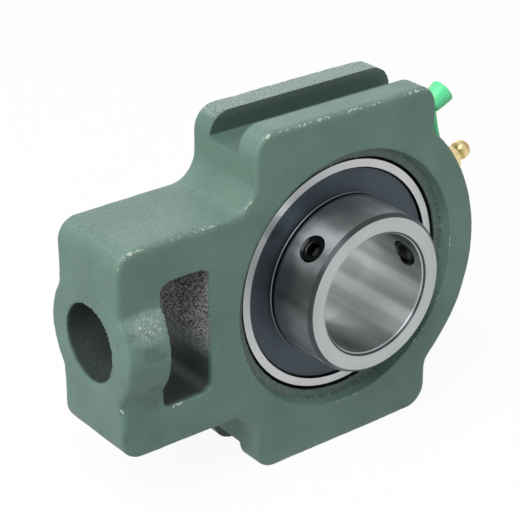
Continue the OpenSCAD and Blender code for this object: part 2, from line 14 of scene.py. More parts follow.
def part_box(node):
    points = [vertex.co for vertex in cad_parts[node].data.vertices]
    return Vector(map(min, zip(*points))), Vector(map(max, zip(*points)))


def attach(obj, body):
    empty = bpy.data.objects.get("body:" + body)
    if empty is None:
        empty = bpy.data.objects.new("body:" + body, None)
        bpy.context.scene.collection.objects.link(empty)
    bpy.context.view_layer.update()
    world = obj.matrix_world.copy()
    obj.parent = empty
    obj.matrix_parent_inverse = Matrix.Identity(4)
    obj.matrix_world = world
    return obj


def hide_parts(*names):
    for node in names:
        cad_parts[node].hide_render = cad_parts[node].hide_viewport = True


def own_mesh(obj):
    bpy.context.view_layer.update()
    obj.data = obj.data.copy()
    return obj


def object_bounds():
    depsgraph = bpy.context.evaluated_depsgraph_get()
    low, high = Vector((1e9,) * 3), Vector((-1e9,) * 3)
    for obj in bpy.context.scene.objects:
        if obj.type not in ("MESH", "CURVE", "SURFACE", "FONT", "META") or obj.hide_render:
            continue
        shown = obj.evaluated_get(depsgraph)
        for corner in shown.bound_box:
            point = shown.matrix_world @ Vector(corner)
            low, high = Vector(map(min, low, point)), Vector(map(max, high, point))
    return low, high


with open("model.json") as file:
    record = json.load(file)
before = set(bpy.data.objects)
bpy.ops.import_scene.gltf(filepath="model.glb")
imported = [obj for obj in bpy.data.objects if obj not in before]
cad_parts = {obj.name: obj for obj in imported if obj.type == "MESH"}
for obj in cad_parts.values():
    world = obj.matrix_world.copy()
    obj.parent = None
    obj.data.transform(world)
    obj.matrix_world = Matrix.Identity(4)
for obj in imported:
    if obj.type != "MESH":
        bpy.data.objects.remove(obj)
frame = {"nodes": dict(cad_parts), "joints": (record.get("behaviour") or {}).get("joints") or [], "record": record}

bl_info = {
    "name": "Take-up bearing unit",
    "version": (1, 0, 0),
    "blender": (4, 5, 0),
    "location": "3D View > Sidebar > Bearing",
    "description": "Dresses the take-up bearing unit and its studio",
    "category": "Object",
}

MM = 0.001
CAD_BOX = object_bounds()
ORIGIN = (0, 0, 0)
SHAFT_AXIS = (0, 1, 0)

# Openings in millimetres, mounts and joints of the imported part, by name
OPENINGS = {item["name"]: np.array(item["box_m"]) / MM for item in frame["record"]["physics"]["openings"]}
MOUNTS = {item["name"]: item for item in frame["record"]["mounts"]}
JOINTS = {item["name"]: item for item in frame["joints"]}


# Settings

def setting(kind, name, description, default, **more):
    """A value that a user may change."""
    return kind(name=name, description=description, default=default, **more)


def sized(name, description, size_mm):
    """A length that a user may change, with its default in millimetres."""
    return setting(FloatProperty, name, description, size_mm * MM, unit="LENGTH")


def angled(name, description, degrees):
    """An angle that a user may change, with its default in degrees."""
    return setting(FloatProperty, name, description, math.radians(degrees), subtype="ANGLE")


def toned(name, description, hex_colour):
    """A colour that a user may change, as sRGB hex."""
    return setting(StringProperty, name, description, hex_colour)


# Colours and nodes

def linear(hex_colour):
    """Linear RGBA of an sRGB colour written as hex."""
    srgb = np.array([int(hex_colour[i:i + 2], 16) for i in (1, 3, 5)]) / 255
    rgb = np.where(srgb <= 0.04045, srgb / 12.92, ((srgb + 0.055) / 1.055) ** 2.4)
    return (*rgb.tolist(), 1.0)


def add_node(tree, kind, inputs=None, **settings):
    """Adds a shader node: settings are its own properties, inputs are values, or what is linked to them.
    That is a socket, or a node, which gives its first output."""
    made = tree.nodes.new("ShaderNode" + kind)
    for name, value in settings.items():
        setattr(made, name, value)
    for name, value in (inputs or {}).items():
        if isinstance(value, Node):
            value = value.outputs[0]
        if isinstance(value, NodeSocket):
            tree.links.new(value, made.inputs[name])
        else:
            made.inputs[name].default_value = value
    return made


def new_material(name):
    """An empty node material, what adds nodes to it, and the socket of places on its object."""
    material = bpy.data.materials.new(name)
    material.use_nodes = True
    material.node_tree.nodes.clear()
    add = partial(add_node, material.node_tree)
    return material, add, add("TexCoord").outputs["Object"]


def ramp(add, share, *stops):
    """Colour that runs from stop to stop, each stop a place from 0 to 1 and a hex colour."""
    made = add("ValToRGB", {"Fac": share})
    elements = made.color_ramp.elements
    elements[0].position = stops[0][0]
    elements[1].position = stops[-1][0]
    for place, _ in stops[1:-1]:
        elements.new(place)
    for element, (_, colour) in zip(elements, stops):
        element.color = linear(colour)
    return made


def noise(add, place, size_mm, detail, **more):
    """Noise at a place, whose grain is size_mm wide."""
    return add("TexNoise", {"Vector": place, "Scale": 1 / (size_mm * MM), "Detail": detail, **more})


# Materials

SKIN_MARKS = ("raw", "dark", "chip", "fleck")


def enamelled_cast_iron(look):
    """Grey-green enamel sprayed on sand-cast iron: satin, a little orange peel, pale where it is chipped.
    Of the casting's attributes, raw shows bare rough iron, dark painted shade in the grooves, the seat's gap,
    the screw hole, the window's lower part, the ledge and the dents, chip where the enamel is nicked, and fleck
    the dusty grain of rough tops with a painted sheen on the upward tops. Specks and grains are drawn coarser
    than the real ones, about 0.3 mm wide, so that they show."""
    cloud_mm, speck_mm, grain_mm = 16, 0.75, 0.6
    peel_mm, sand_mm = 0.06, 0.5
    material, add, place = new_material("enamelled_cast_iron")
    raw, dark, chip, fleck = (add("Attribute", attribute_name=name).outputs["Fac"] for name in SKIN_MARKS)
    cloud = noise(add, place, cloud_mm, 4.0)
    speck = noise(add, place, speck_mm, 4.0)
    grain = noise(add, place, grain_mm, 6.0, Roughness=0.7)
    mottle = add("Math", {0: speck, 1: 0.6, 2: cloud}, operation="MULTIPLY_ADD")
    coat = ramp(add, mottle, (0.6, look.enamel_dark), (1.0, look.enamel_light))
    dust_and_sheen = ramp(add, grain, (0.42, look.fleck_dark), (0.58, look.fleck_light))
    iron = ramp(add, grain, (0.44, look.iron_dark), (0.6, look.iron_light))
    chipping = add("Math", {0: chip, 1: speck}, operation="MULTIPLY")
    flake = add("MapRange", {"Value": chipping, "From Min": 0.44, "From Max": 0.5})
    colour = coat
    # Layers: fleck is dusty grain with a painted sheen on the tops, dark is painted shade in hollows and gaps
    for share, shade in ((fleck, dust_and_sheen), (dark, linear(look.painted_shade)), (raw, iron),
                         (flake, linear(look.chip))):
        layer = add("Mix", {"Factor": share, "A": colour, "B": shade}, data_type="RGBA")
        colour = layer.outputs[2]
    satin = add("MapRange", {"Value": speck, "To Min": 0.45, "To Max": 0.6})
    dull = add("Mix", {"Factor": raw, "A": satin, "B": 0.8}, data_type="FLOAT")
    peel = add("Bump", {"Height": speck, "Strength": 0.3, "Distance": peel_mm * MM})
    depth = add("MapRange", {"Value": raw, "To Min": 0.03, "To Max": 0.8})
    sand = add("Bump", {"Height": grain, "Strength": depth, "Distance": sand_mm * MM, "Normal": peel})
    paint = add("BsdfPrincipled", {"Base Color": colour, "Roughness": dull, "Normal": sand, "IOR": 1.5})
    add("OutputMaterial", {"Surface": paint})
    return material


def turned_metal(name, tones, roughness, line_mm, line_depth, stretch, axis=SHAFT_AXIS, bore_mm=0.0,
                 painted_streak=0.0):
    """Turned or ground metal: fine lines run round an axis through the origin, and reflections smear across
    them. The tones run from the barrel, along the axis, to end faces, across it. A bore of bore_mm counts as
    a face. Painted reflections, light and dark streaks of that share, run along the axis on the barrel. The
    lines are drawn coarser than real turning marks, under 0.1 mm apart, so that they show."""
    smear_mm, groove_mm, streaks = 9, 0.02, 2.4
    material, add, place = new_material(name)
    along = add("VectorMath", {0: place, 1: axis}, operation="DOT_PRODUCT").outputs["Value"]
    foot = add("VectorMath", {0: axis, "Scale": along}, operation="SCALE")
    radial = add("VectorMath", {0: place, 1: foot}, operation="SUBTRACT")
    reach = add("VectorMath", {0: radial}, operation="LENGTH").outputs["Value"]
    lathe = add("CombineXYZ", {"X": reach, "Y": along})
    lines = noise(add, lathe, line_mm, 3.0)
    smear = noise(add, place, smear_mm, 1.0)
    shine = add("MapRange", {"Value": smear, "From Min": 0.3, "From Max": 0.7,
                             "To Min": roughness * 0.85, "To Max": roughness * 1.15})
    tint = add("MapRange", {"Value": lines, "To Min": 0.88, "To Max": 1.12})
    normal = add("NewGeometry").outputs["Normal"]
    own = add("VectorTransform", {0: normal}, vector_type="NORMAL", convert_from="WORLD", convert_to="OBJECT")
    facing = add("VectorMath", {0: own, 1: axis}, operation="DOT_PRODUCT").outputs["Value"]
    across_axis = add("Math", {0: facing}, operation="ABSOLUTE")
    bored = add("Math", {0: reach, 1: bore_mm * MM}, operation="LESS_THAN")
    side = add("Math", {0: across_axis, 1: bored}, operation="MAXIMUM")
    tone = ramp(add, side, *tones)
    # Painted reflection: light and dark streaks along the axis, on the barrel only
    ray = add("VectorMath", {0: radial}, operation="NORMALIZE")
    reflection_noise = add("TexNoise", {"Vector": ray, "W": 0.0, "Scale": streaks, "Detail": 2.0}, noise_dimensions="4D")
    painted_reflection = add("MapRange", {"Value": reflection_noise, "From Min": 0.35, "From Max": 0.65,
                             "To Min": 1 - painted_streak, "To Max": 1 + painted_streak})
    barrel_reflection = add("Mix", {"Factor": across_axis, "A": painted_reflection, "B": 1.0}, data_type="FLOAT")
    level = add("Math", {0: tint, 1: barrel_reflection}, operation="MULTIPLY")
    shade = add("VectorMath", {0: tone, "Scale": level}, operation="SCALE")
    bump = add("Bump", {"Height": lines, "Strength": line_depth, "Distance": groove_mm * MM})
    hoop = add("VectorMath", {0: axis, 1: radial}, operation="CROSS_PRODUCT")
    turned = add("VectorTransform", {0: hoop}, vector_type="VECTOR", convert_from="OBJECT",
                 convert_to="WORLD")
    across = add("VectorMath", {0: normal, 1: turned}, operation="CROSS_PRODUCT")
    metal = add("BsdfPrincipled", {
        "Base Color": shade, "Metallic": 1.0, "Roughness": shine, "Anisotropic": stretch, "Tangent": across,
        "Normal": bump})
    add("OutputMaterial", {"Surface": metal})
    return material


def plain_skin(name, colour, shade, roughness, grain_mm, metallic=0.0, subsurface=0.0):
    """A moulded, pressed, drawn or blackened skin without turning lines: soft colour clouds and a fine grain.
    The grain is drawn coarser than the real one, so that it shows."""
    cloud_mm, grain_depth_mm, glow_mm = 5, 0.02, 1.5
    material, add, place = new_material(name)
    cloud = noise(add, place, cloud_mm, 2.0)
    skin = noise(add, place, grain_mm, 3.0)
    tone = ramp(add, cloud, (0.3, colour), (0.7, shade))
    bump = add("Bump", {"Height": skin, "Strength": 0.2, "Distance": grain_depth_mm * MM})
    body = add("BsdfPrincipled", {
        "Base Color": tone, "Roughness": roughness, "Normal": bump, "Metallic": metallic,
        "Subsurface Weight": subsurface, "Subsurface Radius": (0.4, 1.0, 0.6),
        "Subsurface Scale": glow_mm * MM})
    add("OutputMaterial", {"Surface": body})
    return material


def dress(node_names, material):
    """Gives the material to CAD nodes that keep their own shape."""
    for name in node_names:
        mesh = frame["nodes"][name].data
        mesh.materials.clear()
        mesh.materials.append(material)


# Meshes

# Distances within which points of a solid's mesh and of a new mesh are one
SOLID_JOIN = 0.002 * MM
GRID_JOIN = 0.001 * MM


def add_object(name, data):
    """An object of the data, linked into the scene."""
    made = bpy.data.objects.new(name, data)
    bpy.context.scene.collection.objects.link(made)
    return made


def read_rows(items, field, width, kind=np.float64):
    """One field of a mesh's items as an array with a row for each item."""
    flat = np.empty(len(items) * width, kind)
    items.foreach_get(field, flat)
    return flat.reshape(-1, width)


def node_points(node):
    """Points of a CAD node in millimetres."""
    return read_rows(frame["nodes"][node].data.vertices, "co", 3) / MM


def join_points(mesh, gap, turn_out):
    """Joins a mesh's points that lie within the gap, and turns its faces outwards where asked."""
    work = bmesh.new()
    work.from_mesh(mesh)
    bmesh.ops.remove_doubles(work, verts=work.verts, dist=gap)
    if turn_out:
        bmesh.ops.recalc_face_normals(work, faces=work.faces)
    work.to_mesh(mesh)
    work.free()


def finish_piece(name, mesh, material, sharp, body, node):
    """Makes a piece of a mesh: smooth up to the sharp angle, riding on its body in place of its CAD node."""
    mesh.shade_smooth()
    mesh.set_sharp_from_angle(angle=sharp)
    mesh.materials.append(material)
    piece = add_object(name, mesh)
    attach(piece, body)
    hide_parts(node)
    return piece


# Casting

# Where the casting's skin differs, in millimetres: from, to, and the distance over which that fades
BANDS = {
    "window_depth": (-12, 12, 1.5),
    "window_bare": (-2, 30, 8),
    "window_sill": (-30, -14, 4),
    "ridge_line": (-0.4, 0.4, 0.9),
    "ridge_wall": (-50, -40, 1),
    "hole_wall": (-20, 0.05, 0.3),
    "hole_length": (-75.8, -63, 1),
    "hole_floor": (-12, -4, 4),
    "seat_wall": (-0.4, 0.1, 0.2),
    "seat_depth": (0, 11.1, 0.1),
    "ledge_depth": (10.85, 11.15, 0.2),
    "groove_side": (45.4, 60, 0.6),
    "rail_top": (49.8, 60, 1),
    "rail_rear": (6, 20, 1),
    "rail_left": (-40, -26, 10),
    "rail_corner": (0, 3, 3),
    "front": (-15, -13.3, 0.5),
    "nose_top": (29, 31, 1),
    "nose_length": (-80, -38, 6),
    "nose_edge": (26, 34, 2),
    "nose_edge_length": (-80, -30, 2),
    "end_corner": (-80, -72, 3),
    "end_corner_height": (-40, -14, 4),
    "lip": (36.5, 40, 1),
    "lip_right": (25, 90, 12),
    "patch": (0, 3, 3),
    "patch_front": (-30, -14.6, 1),
    "dent_length": (-77, -62, 2),
    "dent_height": (-26, 6, 4),
    "dent_front": (-30, -13.5, 0.5),
}

# Millimetres by which a mark reaches past its opening, and over which it fades
MARGINS = {"window": (0.75, 0.4), "sill": (0.5, 2), "groove": (0.25, 0.15)}

# Layers of the casting's unevenness: cell in millimetres, seed and share
NOISES = {
    "fine": ((1.3, 1, 1.0), (0.8, 2, 0.6)),
    "broad": ((11, 3, 1.0), (5, 6, 0.5)),
    "sand": ((1.5, 4, 1.0), (3.2, 5, 1.0)),
    "clump": ((4.5, 7, 0.5),),
    "dent": ((2.6, 8, 2.2),),
}
NOISE_TABLE = 65536
NOISE_PRIMES = np.array((73856093, 19349663, 83492791))


def lattice_noise(points, cell, seed):
    """Smooth noise from -1 to 1: random values at the corners of cubes, blended across each cube."""
    table = np.random.default_rng(seed).uniform(-1, 1, NOISE_TABLE)
    corner = np.floor(points / cell).astype(np.int64)
    part = points / cell - corner
    part = part * part * (3 - 2 * part)
    total = np.zeros(len(points))
    for step in np.ndindex(2, 2, 2):
        key = np.bitwise_xor.reduce((corner + step) * NOISE_PRIMES, axis=1)
        weight = np.prod(np.where(step, part, 1 - part), axis=1)
        total += weight * table[key % NOISE_TABLE]
    return total


def unevenness(name, points):
    """Sum of the named layers of noise at points in millimetres."""
    return sum(share * lattice_noise(points, cell, seed) for cell, seed, share in NOISES[name])


def inside(value, low, high, soft):
    """1 between low and high, falling to 0 over the soft distance outside them."""
    return np.clip(1 - np.maximum(low - value, value - high) / soft, 0, 1)


def band(name, value):
    """1 in the named band, falling to 0 beside it."""
    return inside(value, *BANDS[name])


def in_opening(points, opening, mark):
    """1 inside the named opening and the mark's margin, falling to 0 outside them."""
    box, (margin, soft) = OPENINGS[opening], MARGINS[mark]
    sides = [inside(points[:, k], box[0][k] - margin, box[1][k] + margin, soft) for k in range(3)]
    return np.prod(sides, axis=0)


def wrapped(mesh, target, method, voxel=0.0):
    """A mesh laid onto a target object, after it is rebuilt from even voxels where their size is given."""
    carrier = add_object("carrier", mesh)
    if voxel:
        rebuild = carrier.modifiers.new("voxels", "REMESH")
        rebuild.mode = "VOXEL"
        rebuild.voxel_size = voxel
    lay = carrier.modifiers.new("lay", "SHRINKWRAP")
    lay.wrap_method = method
    lay.target = target
    made = bpy.data.meshes.new_from_object(carrier.evaluated_get(bpy.context.evaluated_depsgraph_get()))
    bpy.data.objects.remove(carrier)
    return made


def crease_cloud(mesh, angle, step):
    """An object with points every step along the edges where a mesh bends by more than the angle."""
    work = bmesh.new()
    work.from_mesh(mesh)
    ends = np.array([[vert.co for vert in edge.verts] for edge in work.edges
                     if edge.is_manifold and edge.calc_face_angle() > angle])
    work.free()
    count = np.ceil(np.linalg.norm(ends[:, 1] - ends[:, 0], axis=1) / step).astype(int) + 1
    edge = np.repeat(np.arange(len(ends)), count)
    place = np.arange(count.sum()) - np.repeat(np.cumsum(count) - count, count)
    part = (place / (count[edge] - 1))[:, None]
    cloud = bpy.data.meshes.new("creases")
    cloud.from_pydata((ends[edge, 0] * (1 - part) + ends[edge, 1] * part).tolist(), [], [])
    return add_object("creases", cloud)


def neighbour_mean(values, edges):
    """Mean of each vertex's neighbours along the edges, for rows of values."""
    total = np.zeros_like(values)
    for k in range(values.shape[1]):
        total[:, k] = np.bincount(edges[:, 0], values[edges[:, 1], k], len(values))
        total[:, k] += np.bincount(edges[:, 1], values[edges[:, 0], k], len(values))
    return total / np.bincount(edges.ravel(), minlength=len(values))[:, None]


def relaxed(points, edges):
    """Points moved towards their neighbours' mean and back as far: this smooths without shrinking."""
    for share in (0.5, -0.5):
        points = points + share * (neighbour_mean(points, edges) - points)
    return points


def even_copy(node, look):
    """A CAD node rebuilt from even voxels and laid back on its own surface, so that its skin can be shaped.
    Points near a crease are drawn onto it, which keeps edges crisp."""
    solid = frame["nodes"][node].data.copy()
    join_points(solid, SOLID_JOIN, turn_out=False)
    solid.materials.clear()
    cloud = crease_cloud(solid, look.crease, look.catch / 4)
    mesh = wrapped(solid, frame["nodes"][node], "NEAREST_SURFACEPOINT", look.voxel)
    start = read_rows(mesh.vertices, "co", 3)
    near = read_rows(wrapped(mesh.copy(), cloud, "NEAREST_VERTEX").vertices, "co", 3)
    bpy.data.objects.remove(cloud)
    edges = read_rows(mesh.edges, "vertices", 2, np.int32)
    caught = np.linalg.norm(near - start, axis=1) < look.catch
    points = np.where(caught[:, None], near, relaxed(start, edges))
    return mesh, edges, points


def casting_marks(p, sharp, look):
    """Bare iron, painted shade, chips and roughness of the casting's skin at points p, in millimetres.
    Grooves and seat are milled, the window's upper walls are bare, chips follow sharp edges in front, and the
    boss round the screw hole has a worn patch and small dents. The dark mark is painted shade: on the groove
    walls more than their floors, in the seat's gap, the screw hole, the window's lower part, the ledge and the
    dents. Each mark is a product of soft bands."""
    x, y, z = p.T
    depth, height, reach = np.abs(y), np.abs(z), np.hypot(x, z)
    hole_r, seat_r, recess_r = MOUNTS["screw_hole"]["dims"]["r_mm"], look.seat_r / MM, look.recess_r / MM
    ledge_in, ledge_out = 2.2, 0.3
    patch_x, patch_z, patch_squeeze = -68, 9.5, 0.7
    corner_x, corner_z = -31, 50
    window = in_opening(p, "nut_window", "window") * band("window_depth", y)
    bare_wall = window * band("window_bare", z)
    ridge = bare_wall * band("ridge_line", y) * band("ridge_wall", x)
    hole = band("hole_wall", np.hypot(y, z) - hole_r) * band("hole_length", x)
    milled = np.maximum(in_opening(p, "top_guide_groove", "groove"),
                        in_opening(p, "bottom_guide_groove", "groove"))
    seat = band("seat_wall", np.linalg.norm(p, axis=1) - seat_r) * band("seat_depth", depth)
    ledge = inside(reach, seat_r - ledge_in, recess_r - ledge_out, ledge_out) * band("ledge_depth", depth)
    rail_top = band("rail_top", height)
    nose_top = band("nose_top", z) * band("nose_length", x)
    patch = band("patch", np.hypot((x - patch_x) * patch_squeeze, z - patch_z)) * band("patch_front", y)
    front = band("front", y)
    rail_edge = front * rail_top * (1 + 0.2 * band("rail_left", x))
    nose_edge = front * band("nose_edge", z) * band("nose_edge_length", x)
    end_corner = front * band("end_corner", x) * band("end_corner_height", z) * 0.95
    sill = in_opening(p, "nut_window", "sill") * band("window_sill", z)
    lip = front * band("lip", reach) * band("lip_right", x - z) * 0.85
    elsewhere = np.full(len(p), 0.3)
    keen = np.max([rail_edge, nose_edge, end_corner, sill, lip, elsewhere], axis=0)
    clump = np.clip(0.9 + unevenness("clump", p), 0.4, 1.15)
    rail_corner = band("rail_corner", np.hypot(x - corner_x, z - corner_z))
    clump = np.max([clump, 1.1 * rail_corner, 0.8 * nose_edge, 0.72 * rail_edge], axis=0)
    dent = band("dent_length", x) * band("dent_height", z) * band("dent_front", y)
    dent = dent * np.clip(unevenness("dent", p) - 0.5, 0, 1)
    # Flecks: grain of the rough cast tops and ledge, and on the upward tops also a painted sheen
    rough_rail = rail_top * (0.2 + 0.6 * band("rail_rear", y))
    coarse = np.max([rough_rail, nose_top * 0.25, ledge * 0.5, patch * 0.7], axis=0)
    # Painted shade in the grooves, deeper on their side walls than on their floors
    groove_shade = milled * (0.3 + 0.3 * band("groove_side", height))
    hole_chips = hole * (0.55 + 0.1 * band("hole_floor", z))
    return {
        "raw": bare_wall,
        # dark: painted shade in the grooves, the seat's gap, the screw hole, the lower window, the ledge and the
        # dents
        "dark": np.max([groove_shade, seat, hole, window - bare_wall, ledge * 0.45, dent * 0.3], axis=0),
        "chip": np.max([sharp * keen * clump * (1 - milled), patch * 0.74, hole_chips], axis=0),
        "fleck": coarse * 0.75,
        "ridge": ridge,
        "dent": dent,
        "seat": seat,
        "ledge": ledge,
        "smooth": np.maximum(milled, seat),
        "coarse": coarse,
        "sandy": np.max([bare_wall, patch * 0.7, hole * 0.15], axis=0),
    }


class CastingSettings(PropertyGroup):
    """Sizes and colours of the casting."""
    voxel: sized("Voxel", "Size of the voxels that the casting is rebuilt from", 0.64)
    crease: angled("Crease", "Bend from which an edge of the solid stays crisp", 35)
    catch: sized("Catch", "Distance from which points are drawn onto a crease", 0.36)
    seat_r: sized("Seat", "Radius of the milled bearing seat", 36.05)
    recess_r: sized("Recess", "Radius of the recess round the seat", 38)
    seat_gap: sized("Seat gap", "Gap between the outer ring and its seat", 0.55)
    ledge_drop: sized("Ledge", "Depth of the milled ledge round the seat", 0.5)
    peel: sized("Skin", "Height of the cast skin's fine bumps", 0.03)
    coarse_peel: setting(FloatProperty, "Coarse skin", "Times that rough tops add to the fine bumps", 4.0)
    wave: sized("Wave", "Height of the casting's broad unevenness", 0.12)
    sand: sized("Sand", "Height of bare sand-cast roughness", 0.3)
    ridge: sized("Ridge", "Height of the parting ridge in the window", 0.7)
    dent: sized("Dent", "Depth of the small dents on the nose", 0.25)
    enamel_dark: toned("Enamel, dark", "Deeper tone of the enamel", "#5c7b6e")
    enamel_light: toned("Enamel, light", "Paler tone of the enamel", "#6b8a7d")
    # Painted shade: tone of the dark mark in grooves, seat's gap, screw hole, lower window, ledge and dents
    painted_shade: toned("Dark coat", "Thin coat on milled faces", "#323c37")
    chip: toned("Chip", "Chipped enamel", "#bccabf")
    # Fleck tones: grain of the rough tops; the pale one is also a painted sheen on them
    fleck_dark: toned("Fleck, dark", "Pits of the rough tops", "#5e736b")
    fleck_light: toned("Fleck, light", "Grains of the rough tops", "#b4c3bd")
    iron_dark: toned("Iron, dark", "Pits of the bare iron", "#0f1011")
    iron_light: toned("Iron, light", "Grains of the bare iron", "#c4c2c5")


class UNIT_OT_casting(Operator):
    """Builds the enamelled casting from the housing's solid"""
    bl_idname = "unit.casting"
    bl_label = "Casting"

    def execute(self, context):
        look = context.scene.unit_casting
        mesh, edges, points = even_copy("housing", look)
        mesh.vertices.foreach_set("co", points.ravel())
        mesh.update()
        normals = read_rows(mesh.vertex_normals, "vector", 3)
        p = points / MM
        # A point counts as fully sharp where it stands a twelfth of a millimetre over its neighbours' mean
        bend = np.einsum("ij,ij->i", normals, p - neighbour_mean(p, edges))
        sharp = np.clip(bend * 12, 0, 1)[:, None]
        sharp = np.maximum(sharp, neighbour_mean(sharp, edges))[:, 0]
        marks = casting_marks(p, sharp, look)
        skin = look.peel * unevenness("fine", p) * (1 + look.coarse_peel * marks["coarse"])
        lift = (1 - marks["smooth"]) * (skin + look.wave * unevenness("broad", p))
        lift += look.sand * unevenness("sand", p) * marks["sandy"]
        lift += look.ridge * marks["ridge"] - look.dent * marks["dent"]
        outward = points * (1, 0, 1) / np.linalg.norm(points[:, ::2], axis=1)[:, None]
        inward = np.sign(points) * (0, -1, 0)
        points = points + normals * lift[:, None] + outward * (look.seat_gap * marks["seat"])[:, None]
        points += inward * (look.ledge_drop * marks["ledge"])[:, None]
        low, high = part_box("housing")
        points = np.clip(points, low, high)
        mesh.vertices.foreach_set("co", points.ravel())
        for name in SKIN_MARKS:
            attribute = mesh.attributes.new(name, "FLOAT", "POINT")
            attribute.data.foreach_set("value", marks[name].astype(np.float32))
        finish_piece("casting", mesh, enamelled_cast_iron(look), look.crease, "housing", "housing")
        return {"FINISHED"}


# Turned pieces

# Points round a turned piece, and the longest step along its outline in millimetres
AROUND = {"slinger": 180, "screw": 72, "nipple": 72, "cap_ring": 48, "cup": 64}
STEP = {"slinger": 1.0, "screw": 0.1, "nipple": 0.1, "cup": 0.2}
GRID_SHARP = math.radians(32)


def stations(rows, step):
    """Rows of numbers filled in evenly between the given ones, no further than step apart in the first two.
    A tiny length is added to each stretch, so that rows in one place stay in order."""
    tiny = 1e-6
    rows = np.array(rows, float)
    stretch = np.linalg.norm(np.diff(rows[:, :2], axis=0), axis=1) + tiny
    walked = np.concatenate([[0], np.cumsum(stretch)])
    at = np.unique(np.concatenate([walked, np.arange(0, walked[-1], step)]))
    return np.stack([np.interp(at, walked, column) for column in rows.T], axis=1)


def turned_points(rows, axis, around, centre=ORIGIN, pitch=1.0, groove=0.0):
    """Points of a turned piece in metres: a row for each station, a column for each angle round its axis.
    A station holds its place along the axis, its turned radius, half the width across flats and its share of
    thread. The radius is the turned one, less a groove that climbs one pitch in a turn, and is cut off at six
    flats."""
    along, turned, flat, thread = (column[:, None] for column in rows.T)
    angle = np.linspace(0, 2 * math.pi, around, endpoint=False)
    from_flat = (angle + math.pi / 6) % (math.pi / 3) - math.pi / 6
    valley = np.abs((along / pitch - angle / (2 * math.pi)) % 1 - 0.5) * 2
    radius = np.minimum(turned - thread * groove * valley, flat / np.cos(from_flat))
    axis = np.array(axis)
    side = np.array((0.0, 0.0, 1.0) if abs(axis[1]) > 0.5 else (0.0, 1.0, 0.0))
    round_way = np.cos(angle)[:, None] * side + np.sin(angle)[:, None] * np.cross(axis, side)
    return np.array(centre) + MM * (along[:, :, None] * axis + radius[:, :, None] * round_way)


def outline_rows(outline, flat=None, threaded=()):
    """Stations of an outline of places and radii: one half width across flats, and thread on some rows."""
    rows = np.zeros((len(outline), 4))
    rows[:, :2] = outline
    rows[:, 2] = flat or 4 * rows[:, 1].max()
    rows[list(threaded), 3] = 1
    return rows


def grid_quads(points, ring, first):
    """Faces between a grid's rows, closed round its columns, and from its last row to its first in a ring."""
    index = np.arange(points.shape[0] * points.shape[1]).reshape(points.shape[:2]) + first
    low, high = (index, np.roll(index, -1, 0)) if ring else (index[:-1], index[1:])
    return np.stack([low, np.roll(low, -1, 1), np.roll(high, -1, 1), high], axis=-1).reshape(-1, 4)


def add_grids(name, grids, body, material, node):
    """A piece made of grids of points, each with word whether it is a ring, that stands for a CAD node."""
    firsts = np.cumsum([0] + [points.shape[0] * points.shape[1] for points, _ in grids])
    quads = np.concatenate([grid_quads(*grid, first) for grid, first in zip(grids, firsts)])
    points = np.concatenate([points.reshape(-1, 3) for points, _ in grids])
    mesh = bpy.data.meshes.new(name)
    mesh.from_pydata(points.tolist(), [], quads.tolist())
    join_points(mesh, GRID_JOIN, turn_out=True)
    return finish_piece(name, mesh, material, GRID_SHARP, body, node)


def reach_along(node, axis):
    """Lowest and highest place of a CAD node along an axis through the origin, in millimetres."""
    along = node_points(node) @ np.array(axis)
    return along.min(), along.max()


class BearingSettings(PropertyGroup):
    """Sizes and finishes of the bearing insert."""
    bend_r: sized("Bend radius", "Radius of the slinger's bend", 0.4)
    inner: toned("Inner ring", "Polished steel of the inner ring", "#b4b8b9")
    barrel: toned("Barrel", "Ground outside of the inner ring", "#b0b5b7")
    outer: toned("Outer ring", "Ground steel of the outer ring", "#c3c5c6")
    chamfer: toned("Chamfer", "Hardened chamfers of the rings", "#4a4d4f")
    slinger: toned("Slinger", "Blued sheet steel", "#485057")
    # Painted shade on the slinger's collar, and a painted highlight along its bend
    collar: toned("Collar", "Collar of the slinger", "#23282c")
    bend: toned("Bend", "Worn bend of the slinger", "#838a90")
    cage: toned("Cage", "Pressed cage steel", "#a2a3a4")
    rubber: toned("Rubber", "Seals", "#191a1b")
    rubber_worn: toned("Worn rubber", "Paler tone of the seals", "#242627")


def slinger_rows(node, bend):
    """Stations of a pressed slinger: a flat ring, and a collar that leaves it over a bend of quarter circles.
    Its four radii and depths are those of the CAD node."""
    touch, arc = 0.01, 9
    points = node_points(node)
    reach, depth = np.hypot(points[:, 0], points[:, 2]), np.abs(points[:, 1])
    grip, rim, back, end = reach.min(), reach.max(), depth.min(), depth.max()
    collar, face = reach[depth > end - touch].max(), depth[reach > rim - touch].max()
    turn = np.linspace(0, math.pi / 2, arc)
    edge = bend / 2
    round_in = np.stack([face + bend - bend * np.cos(turn), collar + bend - bend * np.sin(turn)], axis=1)
    round_out = np.stack([face - edge + edge * np.sin(turn), rim - edge + edge * np.cos(turn)], axis=1)
    outline = np.concatenate([[(back, grip), (back, rim)], round_out, round_in, [(end, collar), (end, grip)]])
    outline[:, 0] *= np.sign(points[0, 1])
    return stations(outline_rows(outline), STEP["slinger"])


